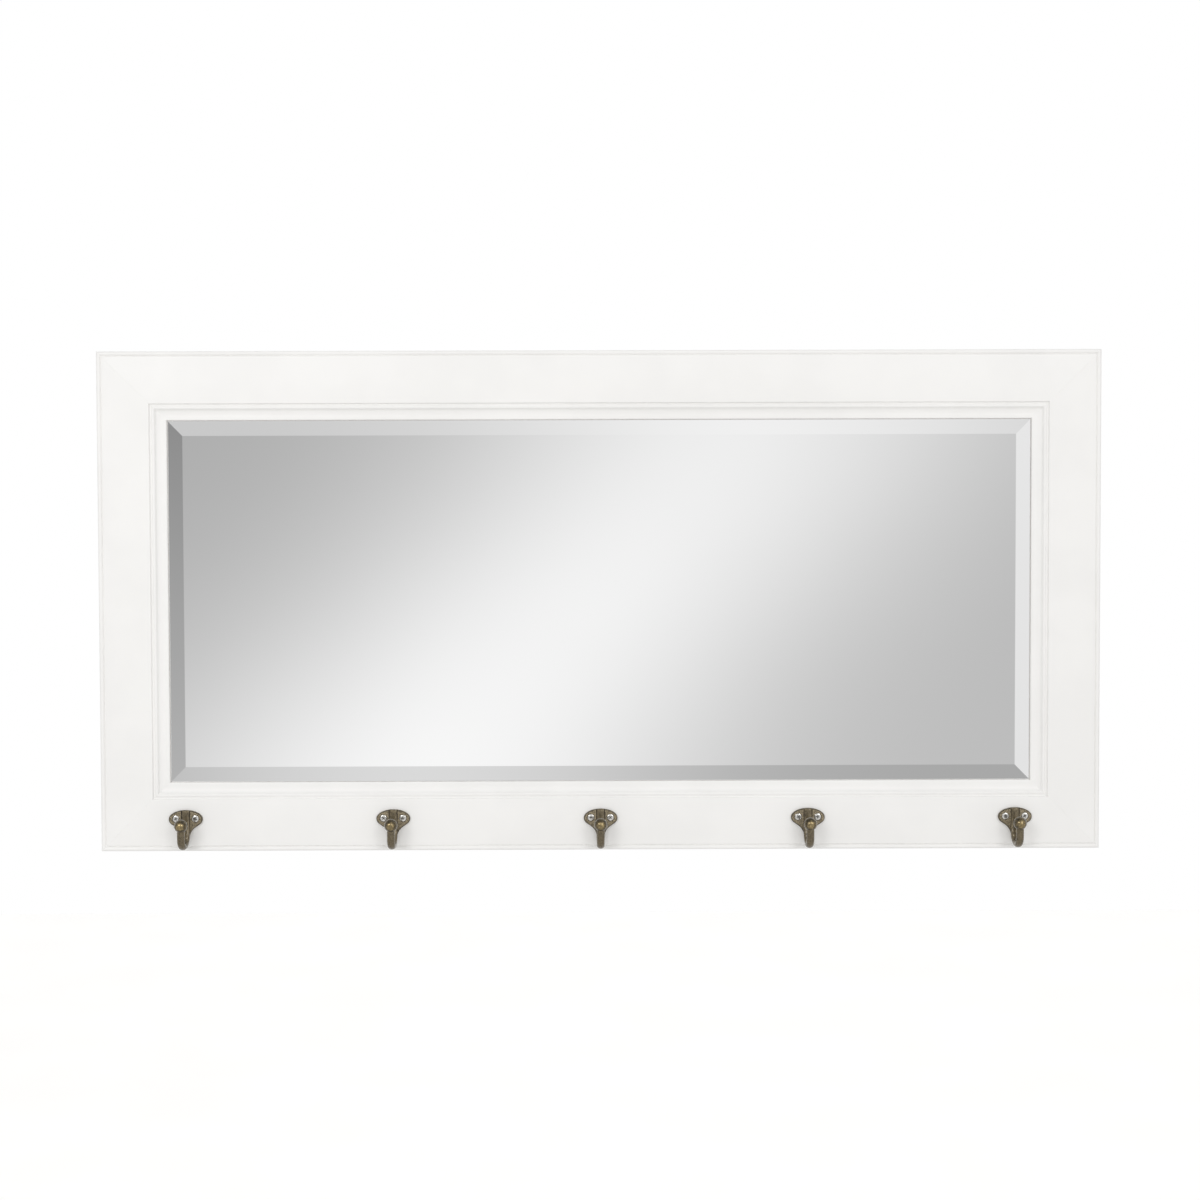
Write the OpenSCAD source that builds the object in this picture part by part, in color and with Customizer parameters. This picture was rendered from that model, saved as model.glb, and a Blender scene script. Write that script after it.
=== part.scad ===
// Wall mirror in a mitred moulding, with five cast coat hooks along the lower rail.
// Millimetres. X runs along the width, the front faces -Y and Z is up.
// The origin lies on the wall, midway between the two points that the mirror hangs from.

/* [Frame] */
// Overall width of the frame
frame_w = 914; // [860:1:1200]
// Overall height of the frame
frame_h = 456; // [360:1:700]
// Depth of the moulding, from its back to its face
frame_t = 20; // [18.5:0.5:30]
// Width of the moulding, from its outer edge to the sight edge
rail_w = 62.5; // [60:0.5:90]

/* [Moulding] */
// Radius of the bead along the outer edge
bead_r = 2.1; // [1.5:0.1:3]
// Floor width of the groove beside the bead
groove_w = 0.6; // [0.4:0.1:1.5]
// Depth of the groove beside the bead
groove_d = 1.2; // [1.2:0.1:2]
// Radius that eases both edges of the flat face
face_r = 0.5; // [0.3:0.1:0.8]
// Width of the quirk that ends the flat face
quirk_w = 2; // [1.4:0.1:3]
// Depth of the quirk
quirk_d = 2; // [1.2:0.1:3]
// Width of the small round inside the quirk
astragal_w = 2.9; // [2:0.1:4]
// Height of the small round above the quirk's floor
astragal_h = 1; // [0.5:0.1:1.2]
// Width of the cove that falls to the lip
cove_w = 6.1; // [4:0.1:9]
// Depth of the flat lip below the face
lip_drop = 4.8; // [4:0.1:6]
// Width of the lip, with its rounded sight edge
lip_w = 3.9; // [2.5:0.1:6]
// Radius of the sight edge
sight_r = 1.2; // [0.6:0.1:1.6]
// Thickness of the lip in front of the glass
lip_t = 2.6; // [2:0.1:3.5]
// Chamfer along the outer back edge
back_ease = 1; // [0.5:0.1:2]

/* [Glass and backing] */
// Thickness of the glass
glass_t = 4; // [3:0.5:5]
// Width of the ground bevel, from the edge of the glass
bevel_w = 19; // [12:0.5:25]
// Thickness of the glass at its edge
glass_edge_t = 2; // [1.5:0.1:2.6]
// Width of glass that the lip covers
glass_lap = 5; // [4:0.5:7]
// Room between the glass and the wall of the rebate
glass_gap = 1; // [0.5:0.1:2]
// Thickness of the backing board
board_t = 3; // [2.5:0.5:5]

/* [Framing points] */
// Length of a flat steel framing point
point_l = 14; // [12:1:18]
// Width of a framing point
point_w = 8; // [6:0.5:10]
// Thickness of a framing point
point_t = 0.5; // [0.4:0.1:0.8]
// Length of a framing point that is driven into the wood
point_grip = 6; // [4:0.5:8]
// Framing points along each long rail
points_long = 6; // [3:1:9]
// Framing points along each short rail
points_short = 3; // [2:1:5]

/* [Corner nails] */
// Leg length of the angled nails that close the mitres
v_leg = 7; // [5:0.5:9]
// Steel thickness of the angled nails
v_t = 0.6; // [0.4:0.1:1]
// Depth of the angled nails
v_depth = 9; // [6:0.5:12]
// Depth that they are driven below the back
v_sink = 0.5; // [0.2:0.1:1]
// Distance of the outer nail from each outer edge
v_first = 22; // [16:1:26]
// Distance between the two nails of a corner, along each rail
v_pitch = 14; // [10:1:18]

/* [Hooks] */
// Distance of the outer hooks from the ends of the frame
hook_inset = 77.8; // [60:0.2:120]
// Height of the plates' top above the lower edge of the frame
hook_top = 38; // [35:0.1:44]
// Width of a hook's plate
plate_w = 30.8; // [29:0.2:36]
// Height of the plate's elliptic top, down to its widest place
crown_h = 8.2; // [7:0.1:10]
// Radius of the plate's round lobes
lobe_r = 6.05; // [5:0.05:6.5]
// Angle at which the lobes run into the flanks
flank_angle = 55; // [50:1:60]
// Radius of the hollow flanks
flank_r = 12; // [9:0.5:14]
// Thickness of the plate
plate_t = 2.4; // [2.2:0.1:3]
// Width of the rib on the plate
rib_w = 6.6; // [5.6:0.1:7.2]
// Height of the rib's crest above the frame
rib_t = 3.1; // [2.8:0.1:3.6]
// Radius of the two flutes beside the rib
rib_groove_r = 0.5; // [0.3:0.05:0.6]
// Width of the hook's arm
arm_w = 7.8; // [7:0.1:8.4]
// Thickness of the hook's arm
arm_t = 5.8; // [5:0.1:6.4]
// Width of the arm at the bottom of its bend
bend_w = 7.2; // [6.4:0.1:8]
// Width of the arm where it meets the ball
neck_w = 7; // [6:0.1:7.6]
// Reach of the ball's centre in front of the frame
ball_reach = 21; // [18:0.5:26]
// Depth of the ball's centre below the plate's top
ball_drop = 11.6; // [8:0.1:14]
// Diameter of the ball
ball_d = 12; // [10:0.2:14]
// Height of the whole hook
hook_h = 34.8; // [33:0.1:36]

/* [Screws] */
// Distance between the two screws of a hook
screw_pitch = 17.8; // [17:0.1:19]
// Depth of the screws below the plate's top
screw_drop = 8; // [7:0.1:9]
// Head diameter of a countersunk screw
screw_head_d = 6; // [5.4:0.1:6.2]
// Shank diameter of every screw
screw_d = 2.9; // [2.4:0.1:3]
// Length of a countersunk screw
screw_l = 15; // [12:0.5:17]
// Room around a shank in a hook's plate or a hanger's strap
shank_gap = 0.2; // [0.15:0.05:0.3]
// Room around a shank in its pilot hole
pilot_gap = 0.05; // [0.02:0.01:0.1]
// Head diameter of a hanger's pan-head screw
pan_head_d = 7; // [6:0.2:8]
// Head height of a pan-head screw
pan_head_h = 2; // [1.6:0.1:2.4]
// Length of a pan-head screw below its head
pan_screw_l = 13; // [10:0.5:15]

/* [Hangers] */
// Distance of a hanger's middle from the outer edge of its stile
hanger_inset = 28; // [24:1:34]
// Distance of the hanging points below the frame's upper edge
hang_drop = 72; // [60:1:120]
// Width of a hanger's strap
strap_w = 13; // [12:0.5:15]
// Steel thickness of the strap
strap_t = 1.2; // [1:0.1:1.4]
// Distance of the upper screw below the ring's axis
strap_screw_drop = 28; // [27.5:0.5:34]
// Distance between the two screws of a strap
strap_screw_pitch = 16; // [12:1:22]
// Wire diameter of a ring
ring_wire_d = 3; // [2.6:0.1:3.2]
// Width of a ring between the middles of its wire
ring_w = 25; // [22:0.5:28]
// Reach of a ring from its axis to the middle of its wire
ring_l = 20.5; // [19:0.5:21]
// Bend radius of a ring's two corners
ring_bend_r = 4; // [3:0.5:4]
// Room around the ring's bar in the rolled eye
eye_gap = 0.08; // [0.04:0.01:0.1]
// Room between a hanging ring and its strap
ring_gap = 0.3; // [0.2:0.1:0.6]

/* [Bumpers] */
// Height of the rubber bumpers, which set the frame off the wall
bumper_t = 6.6; // [6.4:0.1:10]
// Diameter of a bumper at its foot
bumper_d = 12; // [9:0.5:14]
// Diameter of a bumper where it touches the wall
bumper_face_d = 9.6; // [7:0.2:11]
// Distance of a bumper's middle from both outer edges
bumper_inset = 13; // [10:0.5:14]

/* [Hidden] */

// Round shapes, and the little that a cutter reaches past what it cuts
$fn = 64;
past = 1;

// Places of the frame: back and face, upper and lower edge
back_y = -bumper_t;
face_y = back_y - frame_t;
top_z = hang_drop;
bottom_z = top_z - frame_h;
mid_z = top_z - frame_h / 2;

// Moulding: where the flat face ends, the depth of the lip's back and the outer wall of the rebate
quirk_u = rail_w - lip_w - cove_w - astragal_w - quirk_w;
lip_back = lip_drop + lip_t;
rebate_u = rail_w - glass_lap - glass_gap;
bead_end = 40;
// The quirk has a hollow floor, which ends at the first of these angles of the small round's
// section; the round runs from the second to the third, where it slopes down into the cove
hollow_end = 145;
round_start = 131;
round_end = 40;
cove_start = 205;
hollow_w = quirk_w + astragal_w / 2 * (1 + cos(hollow_end));
hollow_h = astragal_h * sin(hollow_end);

// Glass: the bevel's slope brings its face against the lip at the sight edge, with a hair of room
seat_gap = 0.1;
bevel_slope = (glass_t - glass_edge_t) / bevel_w;
glass_back = lip_back + seat_gap + glass_edge_t + glass_lap * bevel_slope;
glass_w = frame_w - 2 * (rail_w - glass_lap);
glass_h = frame_h - 2 * (rail_w - glass_lap);
glass_y = face_y + glass_back;
board_y = glass_y + board_t;
// Distance of the last framing points from the ends of their rail
point_margin = 2 * rail_w;

// Hooks: spread evenly along the rail, and the levels that round the edge of a plate, as
// [depth, inset]
hook_pitch = (frame_w - 2 * hook_inset) / 4;
hook_z = bottom_z + hook_top;
edge_r = 0.9;
back_edge = 0.3;
plate_levels = [
    [0, back_edge],
    [back_edge, 0],
    [plate_t - edge_r, 0],
    for (a = [30:30:90]) [plate_t - edge_r * (1 - sin(a)), edge_r * (1 - cos(a))]];
// The arm's back stays this far in front of the frame
arm_lift = 0.2;
bend_r = (ball_reach - arm_lift - arm_t / 2) / 2;
bend_drop = hook_h - arm_t / 2 - bend_r;
rib_steps = 7;
bend_steps = 16;
neck_steps = 3;
section_sides = 20;
// Half the angle of an arm's section that lies flat at its sides, where the plate meets them
side_flat = 30;
// The rib swells toward the bend, and its upper end rounds down over a short way by a share
rib_swell = 2.2;
rib_round = 1.2;
rib_end = 0.3;
rib_starts = [0.15, 0.55];
// The flanks tuck in behind the arm, where the plate ends in a rounded tongue
flank_tuck = 0.35;
tongue_l = 2;
// The rib's sides stand a little way in the flutes beside it, which grow shallower downward and run
// out before the flanks
flute_lap = 0.15;
flute_x = rib_w / 2 + rib_groove_r - flute_lap;
flute_end = 17;
flute_lean = atan(rib_groove_r / flute_end);

// Countersinks: the head sits just below the plate's face, a hair off its cone
csk_room = 0.35;
csk_d = screw_head_d + 2 * csk_room;
cone_gap = 0.05;
shank_hole_d = screw_d + 2 * shank_gap;
pilot_d = screw_d + 2 * pilot_gap;
tip_l = 3;
recess_w = 0.9;
recess_l = 3.3;
recess_d = 1.1;
// Shares of a pan head's height and diameter that its domed top takes
dome_share = 0.4;
crown_share = 0.7;

// Hangers: the rolled eye lifts the ring clear of the strap
hanger_x = frame_w / 2 - hanger_inset;
eye_z = -(ring_l - ring_wire_d / 2);
eye_r = ring_wire_d / 2 + eye_gap;
eye_y = back_y + strap_t + ring_gap + ring_wire_d / 2;
strap_end_drop = strap_screw_drop + strap_screw_pitch;

// Points of an arc, or of an ellipse where the radius is a pair
function arc(middle, r, from, to, steps) = [for (i = [0:steps])
    let (a = from + (to - from) * i / steps, rx = is_list(r) ? r.x : r, ry = is_list(r) ? r.y : r)
    [middle.x + rx * cos(a), middle.y + ry * sin(a)]];

// Section of the moulding, as [distance from the outer edge, height above the back]
moulding = concat(
    [[back_ease, 0], [0, back_ease]],
    arc([bead_r, frame_t - bead_r], bead_r, 180, bead_end, 10),
    [[2 * bead_r, frame_t - groove_d], [2 * bead_r + groove_w, frame_t - groove_d]],
    arc([2 * bead_r + groove_w + face_r, frame_t - face_r], face_r, 180, 90, 4),
    arc([quirk_u - face_r, frame_t - face_r], face_r, 90, 0, 4),
    arc([quirk_u + hollow_w / 2, frame_t - quirk_d + hollow_h], [hollow_w / 2, hollow_h],
        180, 360, 8),
    arc([quirk_u + quirk_w + astragal_w / 2, frame_t - quirk_d], [astragal_w / 2, astragal_h],
        round_start, round_end, 7),
    arc([rail_w - lip_w, frame_t - quirk_d], [cove_w, lip_drop - quirk_d], cove_start, 270, 8),
    arc([rail_w - sight_r, frame_t - lip_drop - sight_r], sight_r, 90, 0, 6),
    [[rail_w, frame_t - lip_back], [rebate_u, frame_t - lip_back], [rebate_u, 0]]);

function rail_length(side) = side == "top" || side == "bottom" ? frame_w : frame_h;
function rail_turn(side) = side == "top" ? 0 : side == "right" ? 90 : side == "bottom" ? 180 : -90;
function rail_place(side) = [
    side == "left" ? -frame_w / 2 : side == "right" ? frame_w / 2 : 0,
    back_y,
    side == "top" ? top_z : side == "bottom" ? bottom_z : mid_z];

// Puts a shape drawn for the top rail, with its outer back edge along X and inward down, on a side
module on_rail(side) {
    translate(rail_place(side)) rotate([0, rail_turn(side), 0]) children();
}

// Puts a shape drawn for the top right corner on a corner, given as the signs of its X and Z
module on_corner(right, up) {
    translate([right * frame_w / 2, back_y, up > 0 ? top_z : bottom_z])
        mirror([right > 0 ? 0 : 1, 0, 0])
        mirror([0, 0, up > 0 ? 0 : 1])
        children();
}

// A length of moulding with its two ends mitred
module mitred_rail(length) {
    intersection() {
        translate([length / 2, 0, 0]) rotate([180, 90, 0]) linear_extrude(length) polygon(moulding);
        translate([0, past, 0]) rotate([90, 0, 0]) linear_extrude(frame_t + 2 * past)
            polygon([[-length / 2, 0], [-length / 2 + rail_w, -rail_w],
                [length / 2 - rail_w, -rail_w], [length / 2, 0]]);
    }
}

// The two angled nails of a corner, or their slots, which run out through the back
module corner_nails(slot = false) {
    for (i = [0:1])
        translate([-v_first - i * v_pitch, slot ? past : -v_sink, -v_first - i * v_pitch])
            rotate([90, 0, 0])
            linear_extrude(slot ? past + v_sink + v_depth : v_depth)
            polygon([[0, 0], [-v_leg, 0], [-v_leg, -v_t], [-v_t, -v_t], [-v_t, -v_leg], [0, -v_leg]]);
}

// The row of framing points of a side, which lie on the board with their tips in the rebate's wall
module framing_points(side) {
    count = rail_length(side) == frame_w ? points_long : points_short;
    run = rail_length(side) - 2 * point_margin;
    for (i = [0:count - 1])
        translate([run * (i / (count - 1) - 0.5), board_y - back_y + point_t, -rebate_u])
            rotate([90, 0, 0])
            linear_extrude(point_t)
            polygon([[-point_w / 2, point_grip - point_w / 2], [0, point_grip],
                [point_w / 2, point_grip - point_w / 2],
                [point_w / 2, point_grip - point_l], [-point_w / 2, point_grip - point_l]]);
}

// A rail or stile with the slots of its nails and points
module joined_rail(side) {
    difference() {
        mitred_rail(rail_length(side));
        for (end = [0, 1])
            mirror([end, 0, 0]) translate([rail_length(side) / 2, 0, 0]) corner_nails(slot = true);
        framing_points(side);
    }
}

module top_rail() {
    color("#f5f4f1") on_rail("top") joined_rail("top");
}

module bottom_rail() {
    color("#f5f4f1") difference() {
        on_rail("bottom") joined_rail("bottom");
        for (i = [1:5], side = [-1, 1])
            translate([hook_x(i) + side * screw_pitch / 2, face_y - past, hook_z - screw_drop])
                rotate([-90, 0, 0])
                cylinder(h = screw_l + past, d = pilot_d);
    }
}

// A stile, with the pilot holes of its hanger
module stile(side) {
    across = side == "left" ? -1 : 1;
    color("#f5f4f1") difference() {
        on_rail(side) joined_rail(side);
        for (i = [0, 1])
            translate([across * hanger_x, back_y + past,
                eye_z - strap_screw_drop - i * strap_screw_pitch])
                rotate([90, 0, 0])
                cylinder(h = pan_screw_l + past, d = pilot_d);
    }
}

module mirror_glass() {
    color("#c9ced0") translate([0, glass_y, mid_z]) difference() {
        translate([-glass_w / 2, -glass_t, -glass_h / 2]) cube([glass_w, glass_t, glass_h]);
        for (side = ["top", "right", "bottom", "left"])
            rotate([0, rail_turn(side), 0])
                translate([-frame_w / 2, 0, rail_length(side) == frame_w ? glass_h / 2 : glass_w / 2])
                rotate([90, 0, 90])
                linear_extrude(frame_w)
                polygon([[-glass_t, -bevel_w], [-glass_t - past, -bevel_w], [-glass_t - past, past],
                    [-glass_edge_t + past * bevel_slope, past]]);
    }
}

module backing_board() {
    color("#8a6a47") translate([-glass_w / 2, glass_y, mid_z - glass_h / 2])
        cube([glass_w, board_t, glass_h]);
}

function hook_x(i) = (i - 3) * hook_pitch;

// Outline of a hook's plate, drawn in by an inset: elliptic crown, round lobes, hollow flanks.
// X is across, Y is up from the plate's top, and it runs counter-clockwise seen from the front.
lobe_x = plate_w / 2 - lobe_r;
flank_x = arm_w / 2 - flank_tuck + flank_r;
flank_y = ((flank_x - lobe_x) * cos(flank_angle) - lobe_r - flank_r) / sin(flank_angle) - crown_h;

function plate_half(inset) =
    let (hollow = flank_r + inset,
        start = asin((-bend_drop - flank_y) / hollow),
        tongue_x = flank_x - hollow * cos(start))
    concat(
        arc([0, -bend_drop], [tongue_x, tongue_l - inset], 285, 345, 4),
        arc([flank_x, flank_y], hollow, 180 - start, 180 - flank_angle, 8),
        arc([lobe_x, -crown_h], lobe_r - inset, -flank_angle, 0, 6),
        arc([0, -crown_h], [plate_w / 2 - inset, crown_h - inset], 10, 84, 8));

function plate_outline(inset) = let (half = plate_half(inset)) concat(
    half,
    [for (i = [len(half) - 1:-1:0]) [-half[i].x, half[i].y]]);

// Solid between equal rings of points, each counter-clockwise seen from the last ring's side.
// Its ends are ladders of quads, so a ring starts and stops beside its line of symmetry.
module loft(rings) {
    sides = len(rings[0]);
    last = len(rings) - 1;
    ladder = [for (i = [0:sides / 2 - 2]) [i, i + 1, sides - 2 - i, sides - 1 - i]];
    polyhedron(
        points = [for (ring = rings, p = ring) p],
        faces = concat(
            ladder,
            [for (k = [0:last - 1], i = [0:sides - 1])
                let (j = (i + 1) % sides)
                [k * sides + i, (k + 1) * sides + i, (k + 1) * sides + j, k * sides + j]],
            [for (rung = ladder) [for (i = [3:-1:0]) last * sides + rung[i]]]));
}

module plate_body() {
    loft([for (level = plate_levels) [for (p = plate_outline(level[1])) [p.x, -level[0], p.y]]]);
}

// Middle line of rib, bend and neck, as [depth in front of the frame, drop below the plate's top,
// width, thickness, flat angle of the sides]
function ease(t) = t * t * (3 - 2 * t);
function blend(a, b, t) = a + (b - a) * t;
function rib_thick(drop) = blend(rib_t - arm_lift, arm_t, pow(drop / bend_drop, rib_swell))
    * (1 - rib_end * pow(max(0, 1 - drop / rib_round), 2));
rib_drops = concat(rib_starts, [for (i = [0:rib_steps - 1]) blend(rib_round, bend_drop, i / rib_steps)]);

arm_line = concat(
    [for (drop = rib_drops)
        let (thick = rib_thick(drop))
        [arm_lift + thick / 2, drop, blend(rib_w, arm_w, ease(drop / bend_drop)), thick, side_flat]],
    [for (i = [0:bend_steps])
        let (a = 180 * i / bend_steps,
            w = blend(a < 90 ? arm_w : neck_w, bend_w, sin(a)),
            flat = side_flat * max(0, 1 - a / 60))
        [arm_lift + arm_t / 2 + bend_r * (1 - cos(a)), bend_drop + bend_r * sin(a), w, arm_t, flat]],
    [for (i = [1:neck_steps])
        [ball_reach, blend(bend_drop, ball_drop, i / neck_steps), neck_w, arm_t, 0]]);

// One section of the arm, an ellipse square to the middle line with flat sides
function arm_ring(k) =
    let (ahead = arm_line[min(k + 1, len(arm_line) - 1)], behind = arm_line[max(k - 1, 0)],
        run = [behind[0] - ahead[0], behind[1] - ahead[1]],
        along = run / norm(run),
        station = arm_line[k])
    [for (i = [0:section_sides - 1])
        let (a = 90 + 360 * (i + 0.5) / section_sides,
            across = max(-1, min(1, cos(a) / cos(station[4]))) * station[2] / 2,
            out = sin(a) * station[3] / 2)
        [across, -station[0] + out * along[1], -station[1] - out * along[0]]];

module arm_body() {
    loft([for (k = [0:len(arm_line) - 1]) arm_ring(k)]);
}

// Countersunk bore through a plate, drawn from the face of the frame outward along +Z
module countersink() {
    translate([0, 0, -past]) cylinder(h = plate_t + 2 * past, d = shank_hole_d);
    translate([0, 0, plate_t - (csk_d - shank_hole_d) / 2])
        cylinder(h = (csk_d - shank_hole_d) / 2 + past, d1 = shank_hole_d, d2 = csk_d + 2 * past);
}

// Plate with its two countersunk bores and the two flutes
module fluted_plate() {
    difference() {
        plate_body();
        for (side = [-1, 1]) {
            translate([side * screw_pitch / 2, 0, -screw_drop]) rotate([90, 0, 0]) countersink();
            translate([side * flute_x, -plate_t, 0])
                rotate([180 - flute_lean, 0, 0])
                translate([0, 0, -past])
                cylinder(h = flute_end + 2 * past, r = rib_groove_r, $fn = 24);
        }
    }
}

// Cast hook: plate, J-shaped arm and ball in one piece
module hook(i) {
    color("#6b5c40") translate([hook_x(i), face_y, hook_z]) {
        fluted_plate();
        arm_body();
        translate([0, -ball_reach, -ball_drop]) sphere(d = ball_d);
    }
}

// Countersunk wood screw, drawn from the top of its head along +Z
module countersunk_screw() {
    head_h = (screw_head_d - screw_d) / 2;
    difference() {
        union() {
            cylinder(h = head_h, d1 = screw_head_d, d2 = screw_d);
            translate([0, 0, head_h / 2]) cylinder(h = screw_l - tip_l - head_h / 2, d = screw_d);
            translate([0, 0, screw_l - tip_l]) cylinder(h = tip_l, d1 = screw_d, d2 = screw_d / 4);
        }
        cross_recess();
    }
}

module cross_recess() {
    for (a = [0, 90])
        rotate([0, 0, a]) translate([-recess_l / 2, -recess_w / 2, -past])
            cube([recess_l, recess_w, recess_d + past]);
}

module hook_screws(i) {
    color("#d8d8d4")
        for (side = [-1, 1])
            translate([hook_x(i) + side * screw_pitch / 2, face_y - plate_t + csk_room - cone_gap,
                hook_z - screw_drop])
                rotate([-90, 0, 0])
                countersunk_screw();
}

// Steel strap of a hanger, with its end rolled into an eye around the ring
module hanger_strap(side) {
    color("#b9bbba") translate([side * hanger_x, 0, eye_z]) difference() {
        union() {
            translate([-strap_w / 2, back_y, -strap_end_drop])
                cube([strap_w, strap_t, strap_end_drop]);
            translate([0, back_y, -strap_end_drop]) rotate([-90, 0, 0])
                cylinder(h = strap_t, d = strap_w);
            translate([-strap_w / 2, eye_y, 0]) rotate([0, 90, 0])
                cylinder(h = strap_w, r = eye_r + strap_t);
        }
        translate([-strap_w / 2 - past, eye_y, 0]) rotate([0, 90, 0])
            cylinder(h = strap_w + 2 * past, r = eye_r);
        for (i = [0, 1])
            translate([0, back_y - past, -strap_screw_drop - i * strap_screw_pitch])
                rotate([-90, 0, 0])
                cylinder(h = strap_t + 2 * past, d = shank_hole_d);
    }
}

// D-shaped wire ring, hanging from its straight bar
module hanger_ring(side) {
    wire_r = ring_wire_d / 2;
    bar = ring_w / 2 - ring_bend_r;
    sides = ring_l - ring_w / 2;
    color("#c4c6c5") translate([side * hanger_x, eye_y, eye_z]) {
        translate([-bar, 0, 0]) rotate([0, 90, 0]) cylinder(h = 2 * bar, r = wire_r);
        for (end = [0, 1])
            mirror([end, 0, 0]) {
                translate([bar, 0, -ring_bend_r]) rotate([90, 0, 0])
                    rotate_extrude(angle = 90) translate([ring_bend_r, 0]) circle(r = wire_r);
                translate([ring_w / 2, 0, -sides]) cylinder(h = sides - ring_bend_r, r = wire_r);
            }
        translate([0, 0, -sides]) rotate([-90, 0, 0])
            rotate_extrude(angle = 180) translate([ring_w / 2, 0]) circle(r = wire_r);
    }
}

// Pan-head screw, drawn from the underside of its head along +Z
module pan_screw() {
    dome = dome_share * pan_head_h;
    difference() {
        union() {
            translate([0, 0, -pan_head_h])
                cylinder(h = dome, d1 = crown_share * pan_head_d, d2 = pan_head_d);
            translate([0, 0, dome - pan_head_h]) cylinder(h = pan_head_h - dome, d = pan_head_d);
            translate([0, 0, -dome]) cylinder(h = pan_screw_l - tip_l + dome, d = screw_d);
            translate([0, 0, pan_screw_l - tip_l]) cylinder(h = tip_l, d1 = screw_d, d2 = screw_d / 4);
        }
        translate([0, 0, -pan_head_h]) cross_recess();
    }
}

module hanger_screws(side) {
    color("#c4c6c5")
        for (i = [0, 1])
            translate([side * hanger_x, back_y + strap_t,
                eye_z - strap_screw_drop - i * strap_screw_pitch])
                rotate([90, 0, 0])
                pan_screw();
}

// Rubber bumper, whose flat end touches the wall
module bumper() {
    color("#2f2f2f") translate([-bumper_inset, 0, -bumper_inset]) rotate([-90, 0, 0])
        cylinder(h = bumper_t, d1 = bumper_d, d2 = bumper_face_d);
}

module corner_nail_pair(right, up) {
    color("#a7a9aa") on_corner(right, up) corner_nails();
}

module framing_point_row(side) {
    color("#a7a9aa") on_rail(side) framing_points(side);
}

top_rail();
bottom_rail();
stile("left");  // left_stile
stile("right");  // right_stile
mirror_glass();
backing_board();
hook(1);  // hook_1
hook(2);  // hook_2
hook(3);  // hook_3
hook(4);  // hook_4
hook(5);  // hook_5
hook_screws(1);  // hook_screws_1
hook_screws(2);  // hook_screws_2
hook_screws(3);  // hook_screws_3
hook_screws(4);  // hook_screws_4
hook_screws(5);  // hook_screws_5
corner_nail_pair(-1, 1);  // corner_nails_top_left
corner_nail_pair(1, 1);  // corner_nails_top_right
corner_nail_pair(-1, -1);  // corner_nails_bottom_left
corner_nail_pair(1, -1);  // corner_nails_bottom_right
framing_point_row("top");  // framing_points_top
framing_point_row("bottom");  // framing_points_bottom
framing_point_row("left");  // framing_points_left
framing_point_row("right");  // framing_points_right
hanger_strap(-1);  // hanger_strap_left
hanger_strap(1);  // hanger_strap_right
hanger_ring(-1);  // hanger_ring_left
hanger_ring(1);  // hanger_ring_right
hanger_screws(-1);  // hanger_screws_left
hanger_screws(1);  // hanger_screws_right
on_corner(-1, 1) bumper();  // bumper_top_left
on_corner(1, 1) bumper();  // bumper_top_right
on_corner(-1, -1) bumper();  // bumper_bottom_left
on_corner(1, -1) bumper();  // bumper_bottom_right
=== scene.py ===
"""Wall mirror in a white moulded frame with five cast coat hooks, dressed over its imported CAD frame.

Laid out as an add-on and run as a script. Metres; X along the width, the front faces -Y, Z is up.
"""

from math import asin, atan, cos, pi, radians, sin, tan

import bmesh
import bpy
from bpy.props import FloatProperty, FloatVectorProperty, IntProperty, PointerProperty
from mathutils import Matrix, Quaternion, Vector


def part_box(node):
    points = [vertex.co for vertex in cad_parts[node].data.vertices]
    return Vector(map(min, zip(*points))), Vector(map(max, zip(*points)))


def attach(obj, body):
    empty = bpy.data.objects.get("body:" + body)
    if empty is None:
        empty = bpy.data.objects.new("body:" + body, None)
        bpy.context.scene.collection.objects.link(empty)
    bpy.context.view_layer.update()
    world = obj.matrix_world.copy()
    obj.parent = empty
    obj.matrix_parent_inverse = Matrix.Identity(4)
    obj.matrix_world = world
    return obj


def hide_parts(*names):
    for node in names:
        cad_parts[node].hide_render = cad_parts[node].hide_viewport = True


bl_info = {
    "name": "Wall mirror with coat hooks",
    "version": (1, 0, 0),
    "blender": (4, 5, 0),
    "location": "View3D > Sidebar > Coat mirror",
    "description": "Builds the moulding, hooks and back hardware of a wall mirror with five coat hooks",
    "category": "Object",
}

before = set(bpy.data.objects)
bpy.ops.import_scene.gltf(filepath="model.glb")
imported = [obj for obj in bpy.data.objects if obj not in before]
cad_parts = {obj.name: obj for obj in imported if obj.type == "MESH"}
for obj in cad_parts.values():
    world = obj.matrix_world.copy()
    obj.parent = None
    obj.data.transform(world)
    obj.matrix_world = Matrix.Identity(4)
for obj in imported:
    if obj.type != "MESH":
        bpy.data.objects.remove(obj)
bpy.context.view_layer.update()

MM = 0.001
CORNERS = (("top_left", -1, 1), ("top_right", 1, 1), ("bottom_left", -1, -1), ("bottom_right", 1, -1))

# Planes of the frame, read from the CAD nodes
rail_low, rail_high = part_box("top_rail")
FACE_Y, BACK_Y = rail_low.y, rail_high.y
TOP_Z, FRAME_W = rail_high.z, rail_high.x - rail_low.x
BOTTOM_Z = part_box("bottom_rail")[0].z
MID_Z = (TOP_Z + BOTTOM_Z) / 2


def linear(hex_colour):
    """Linear RGB of an sRGB hex value."""
    parts = [int(hex_colour[i:i + 2], 16) / 255 for i in (1, 3, 5)]
    return tuple(c / 12.92 if c <= 0.04045 else ((c + 0.055) / 1.055) ** 2.4 for c in parts)


# ---------------------------------------------------------------- sizes and colours

def length(name, description, millimetres):
    """A length that the user may change, given in millimetres."""
    return FloatProperty(name=name, description=description, default=millimetres * MM, unit="LENGTH",
                         min=0, precision=5)


def angle(name, description, degrees):
    """An angle that the user may change, given in degrees."""
    return FloatProperty(name=name, description=description, default=radians(degrees), subtype="ANGLE")


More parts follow.
